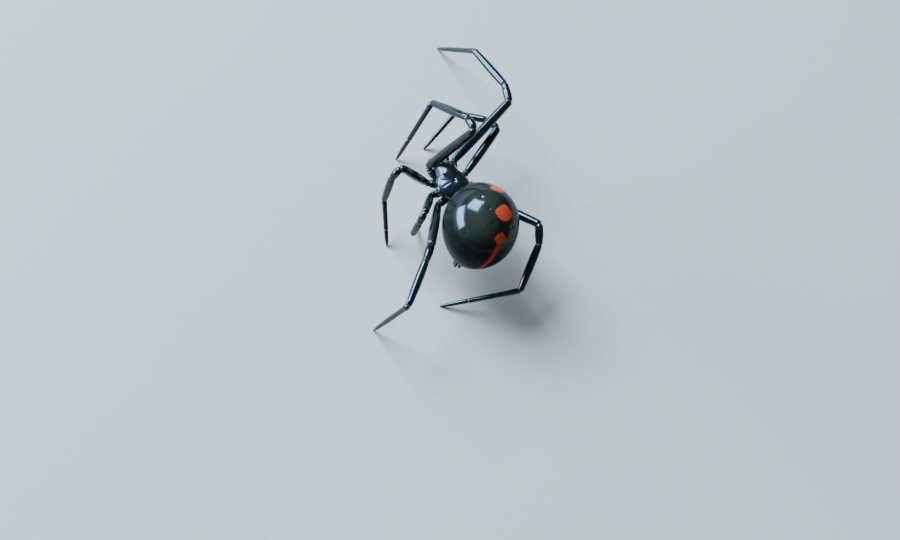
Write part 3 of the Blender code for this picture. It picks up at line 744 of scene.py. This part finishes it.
def mid_way(angle):
    """Direction in the abdomen's mid plane: 0 is forwards, a right angle is up."""
    return np.array([0.0, -math.cos(angle), math.sin(angle)])


def abdomen_points(ways):
    """The abdomen's surface in millimetres from its middle, for an array of directions."""
    x, y, z = ways.T
    slim = 1 - FRONT_TAPER * np.maximum(-y, 0) ** 1.5
    belly = 1 - BELLY_TAPER * np.maximum(-z, 0) ** 1.5
    points = ABDOMEN_RADII * np.stack([x * slim * belly, y, z * slim], 1)
    for angle, height, spread in KNOBS:
        away = np.degrees(np.arccos(np.clip(ways @ mid_way(angle), -1, 1)))
        points += mid_way(angle) * height * np.exp(-((away / spread) ** 2))[:, None]
    for angle, aside in PITS:
        pit = mid_way(math.radians(angle)) * ABDOMEN_RADII * math.sqrt(1 - (aside / ABDOMEN_RADII[0]) ** 2)
        pit[0] = aside
        away = np.linalg.norm(points - pit, axis=1)
        dent = 0.016 * np.exp(-((away / 0.11) ** 2)) + 0.006 * np.exp(-((away / 0.3) ** 2))
        points *= 1 - dent[:, None]
    away = np.degrees(np.arccos(np.clip(ways @ mid_way(SPINNERET_ANGLE), -1, 1)))
    folds = 0.012 * np.sin(away / 2.2) * np.exp(-(((away - 17) / 9) ** 2))
    return points * (1 + folds / 3)[:, None]


def abdomen_to_world(points):
    return abdomen_at + points * MM @ abdomen_turn.T


tilt = math.pi * (np.arange(ALONG) + 0.5) / ALONG
around = 2 * math.pi * np.arange(AROUND) / AROUND
tilt, around = np.meshgrid(tilt, around, indexing="ij")
ways = np.stack([np.sin(tilt) * np.sin(around), -np.cos(tilt), np.sin(tilt) * np.cos(around)], -1).reshape(-1, 3)
abdomen_rings = list(abdomen_to_world(abdomen_points(ways)).reshape(ALONG, AROUND, 3))


def abdomen_skin():
    """Paint by place: across is sideways in mm, and the angle runs over the back from the front in degrees."""
    material, place = finish("abdomen_skin", Specular_IOR_Level=0.03, Coat_Roughness=0.13)
    across, back, height = (
        place.along(tuple(abdomen_turn[:, k] / MM)) - float(abdomen_turn[:, k] @ abdomen_at / MM) for k in range(3)
    )
    angle = across.sum("ARCTAN2", height / ABDOMEN_RADII[2], back / -ABDOMEN_RADII[1]) * (180 / math.pi)
    over = angle + (angle < -90.0) * 360.0
    wide = abs(across)
    ragged = (place.grain(0.42 * MM, 3, 0.6, seed=7.0) - 0.5) * 0.9
    ragged = ragged + (place.grain(0.07 * MM, 2, 0.5, seed=8.0) - 0.5) * 0.22

    def spot(middle, half_length, half_width, widen):
        """1 inside a rounded mark, 0 outside; widen makes it broader towards its rear."""
        u = (over - middle) / half_length
        v = wide / half_width / (1.0 + u * widen)
        return 1.0 - (abs(u).sum("POWER", abs(u), 1.5) + v.sum("POWER", v, 1.5) + ragged).smooth(0.9, 1.08)

    bright = spot(66.5, 9.2, 0.58, 0.1) | spot(107.5, 11.0, 0.76, 0.25) | spot(142.0, 8.8, 0.46, -0.2)
    run = (over - 148.0) / 60.0
    line = 1.0 - (abs(across + 0.07) / (0.20 - run * 0.07) + ragged * 0.8).smooth(0.75, 1.25)
    stripe = line * over.smooth(144.0, 149.0) * (1.0 - over.smooth(206.0, 216.0))
    below = abs(angle + 89.0)
    waisted = 1.0 - (wide / (below * 0.056 + 0.14) + ragged * 0.5).smooth(0.92, 1.06)
    hourglass = waisted * (1.0 - (below / 12.5 + ragged * 0.5).smooth(0.93, 1.05)) * (height < -1.3)
    bright = bright | hourglass
    mottle = place.grain(0.09 * MM, 3, seed=9.0).smooth(0.35, 0.75)
    red = (mottle * 0.45).blend(SPOT_RED, SPOT_EDGE)
    olive = place.grain(1.6 * MM, 3, 0.6, seed=1.0).smooth(0.42, 0.72) * 0.8
    lungs = (1.0 - ((abs(angle + 60.0) / 9.0) | (abs(wide - 0.85) / 0.45)).smooth(0.7, 1.1)) * (height < -1.0)
    # Painted reflection: a broad lighter olive patch over the middle of the back stands in for a soft reflection of the
    # surroundings.
    painted_back_sheen = (1.0 - (abs(over - 108.0) / 62.0 | abs(wide - 1.25) / 1.3).smooth(0.25, 1.0)) 
    dark = (painted_back_sheen * 0.7).blend(ABDOMEN_BLACK, BACK_PAINTED_SHEEN)
    skin = lungs.blend(olive.blend(dark, ABDOMEN_OLIVE), LUNG_BROWN)
    paint(bright.blend(stripe.blend(skin, STRIPE_RED), red), "Base Color")
    marks = bright | stripe
    gloss = (place.along((0, 0, 1 / MM)) - float(abdomen_at[2] / MM)).smooth(1.2, 2.3)
    paint(marks * 0.14 + place.grain(0.3 * MM, 3, seed=6.0) * 0.12 + (0.16 - gloss * 0.10), "Roughness")
    edge = place.node("ShaderNodeLayerWeight", {}, {"Blend": 0.5}, out="Facing").smooth(0.25, 0.8)
    paint(gloss * (0.65 - marks * 0.45) * (1.0 - edge * 0.9), "Coat Weight")
    creases = place.grain(0.07 * MM, 3, 0.6) * 0.5 + place.grain(0.5 * MM, 2, seed=3.0) * 4.0
    sockets = 1.0 - place.dots(0.16 * MM).smooth(0.0, 0.25)
    paint((creases - sockets * 0.5).bump(0.010 * MM, 0.7), "Normal")
    return material


make_piece("abdomen_globe", [abdomen_rings], abdomen_skin(), ("abdomen",))


# Down of the abdomen.
# Very short fine hairs, each from its own socket, that lie back along the globe.
# They are the same thin closed spikes as on the legs, spread evenly by a golden-angle spiral.
DOWN_COUNT = 3600
DOWN_LENGTH = 0.13
DOWN_RADIUS = 0.005

draw = np.random.default_rng(7)
number = np.arange(DOWN_COUNT) + 0.5
turns = number * math.pi * (3 - math.sqrt(5)) + draw.normal(0, 0.02, DOWN_COUNT)
level_y = 1 - 2 * number / DOWN_COUNT
ring = np.sqrt(1 - level_y**2)
ways = np.stack([ring * np.sin(turns), level_y, ring * np.cos(turns)], 1)
roots = abdomen_points(ways)
outs = roots / ABDOMEN_RADII**2
outs /= np.linalg.norm(outs, axis=1)[:, None]
rearward = np.array([0, 1, 0]) - outs * outs[:, 1:2]
rearward /= np.linalg.norm(rearward, axis=1)[:, None]
leans = outs * 0.55 + rearward + draw.normal(0, 0.12, ways.shape)
leans /= np.linalg.norm(leans, axis=1)[:, None]
clear = np.degrees(np.arccos(np.clip(ways @ mid_way(WAIST_SEAT), -1, 1))) > 12
spread = np.stack([0.004 + 0.992 * (turns % (2 * math.pi)) / (2 * math.pi), 0.004 + 0.496 * (1 - level_y)], 1)
make_spikes(
    "abdomen_down", abdomen_to_world(roots)[clear], (leans @ abdomen_turn.T)[clear], (rearward @ abdomen_turn.T)[clear],
    draw.uniform(0.6, 1.1, DOWN_COUNT)[clear] * DOWN_LENGTH * MM, DOWN_RADIUS * MM, spread[clear],
)


# Waist.
# The pedicel is a short soft stalk with two hard plates, between the breastplate's rear and the abdomen.
# It is one ringed tube, sunk a little into both.
PEDICEL_RADIUS = 0.24

dull_brown = shell("dull_brown", (0.018, 0.013, 0.010), (0.035, 0.024, 0.017), 0.45)
waist_start = from_head((0.0, CARAPACE_FRONT + CARAPACE_LENGTH - 0.15, -0.3))
waist_end = abdomen_to_world(abdomen_points(mid_way(WAIST_SEAT)[None]) * 0.97)[0]
path = bent_path([waist_start, (waist_start + waist_end) / 2 + np.array([0, 0, 0.02 * MM]), waist_end], 0.1 * MM)
places = np.linspace(0, path[1][-1], 40)
radii = (PEDICEL_RADIUS + 0.010 * np.sin(places / MM * 34)) * MM
make_piece("waist_stalk", [limb_rings(path, places, radii, 28)], dull_brown, ("pedicel",))


# Spinnerets.
# Six finger-like spinnerets round the colulus, with the anal knob above them, on the knob at the abdomen's rear.
# Each is a short cone with a rounded tip, and all stand on one low base that is sunk in the skin.
SPIN_BASE = (0.0, 0.0, 0.36, 0.18, 0.8)
SPIN_FINGERS = (
    (0.16, -0.13, 0.15, 0.46, 0.62),
    (0.15, 0.14, 0.13, 0.42, 0.6),
    (0.06, 0.02, 0.07, 0.32, 0.6),
)
SPIN_ANAL_KNOB = (0.0, 0.26, 0.10, 0.28, 0.6)

outward = mid_way(SPINNERET_ANGLE) / ABDOMEN_RADII
outward /= np.linalg.norm(outward)
aside = np.array([1.0, 0.0, 0.0])
upward = np.cross(outward, aside)
knob = abdomen_points(mid_way(SPINNERET_ANGLE)[None])[0] - outward * 0.06
cones = [SPIN_BASE, SPIN_ANAL_KNOB]
for x, *rest in SPIN_FINGERS:
    cones += [(x, *rest), (-x, *rest)]
bodies = []
for x, y, radius, tall, taper in cones:
    base = abdomen_to_world(knob + aside * x + upward * y)
    out = abdomen_turn @ (outward + aside * x * 0.5 + upward * y * 0.4)
    profile = [(radius * (1 - (1 - taper) * t**1.5), tall * t) for t in np.linspace(0, 0.9, 8)]
    profile += [(radius * taper * f, tall * (0.9 + 0.1 * g)) for f, g in ((0.93, 0.5), (0.75, 0.85), (0.4, 1.0))]
    bodies.append(turned_rings(base, out, [(r * MM, h * MM) for r, h in profile], 24))
make_piece("spinneret_group", bodies, dull_brown, ("spinnerets",))
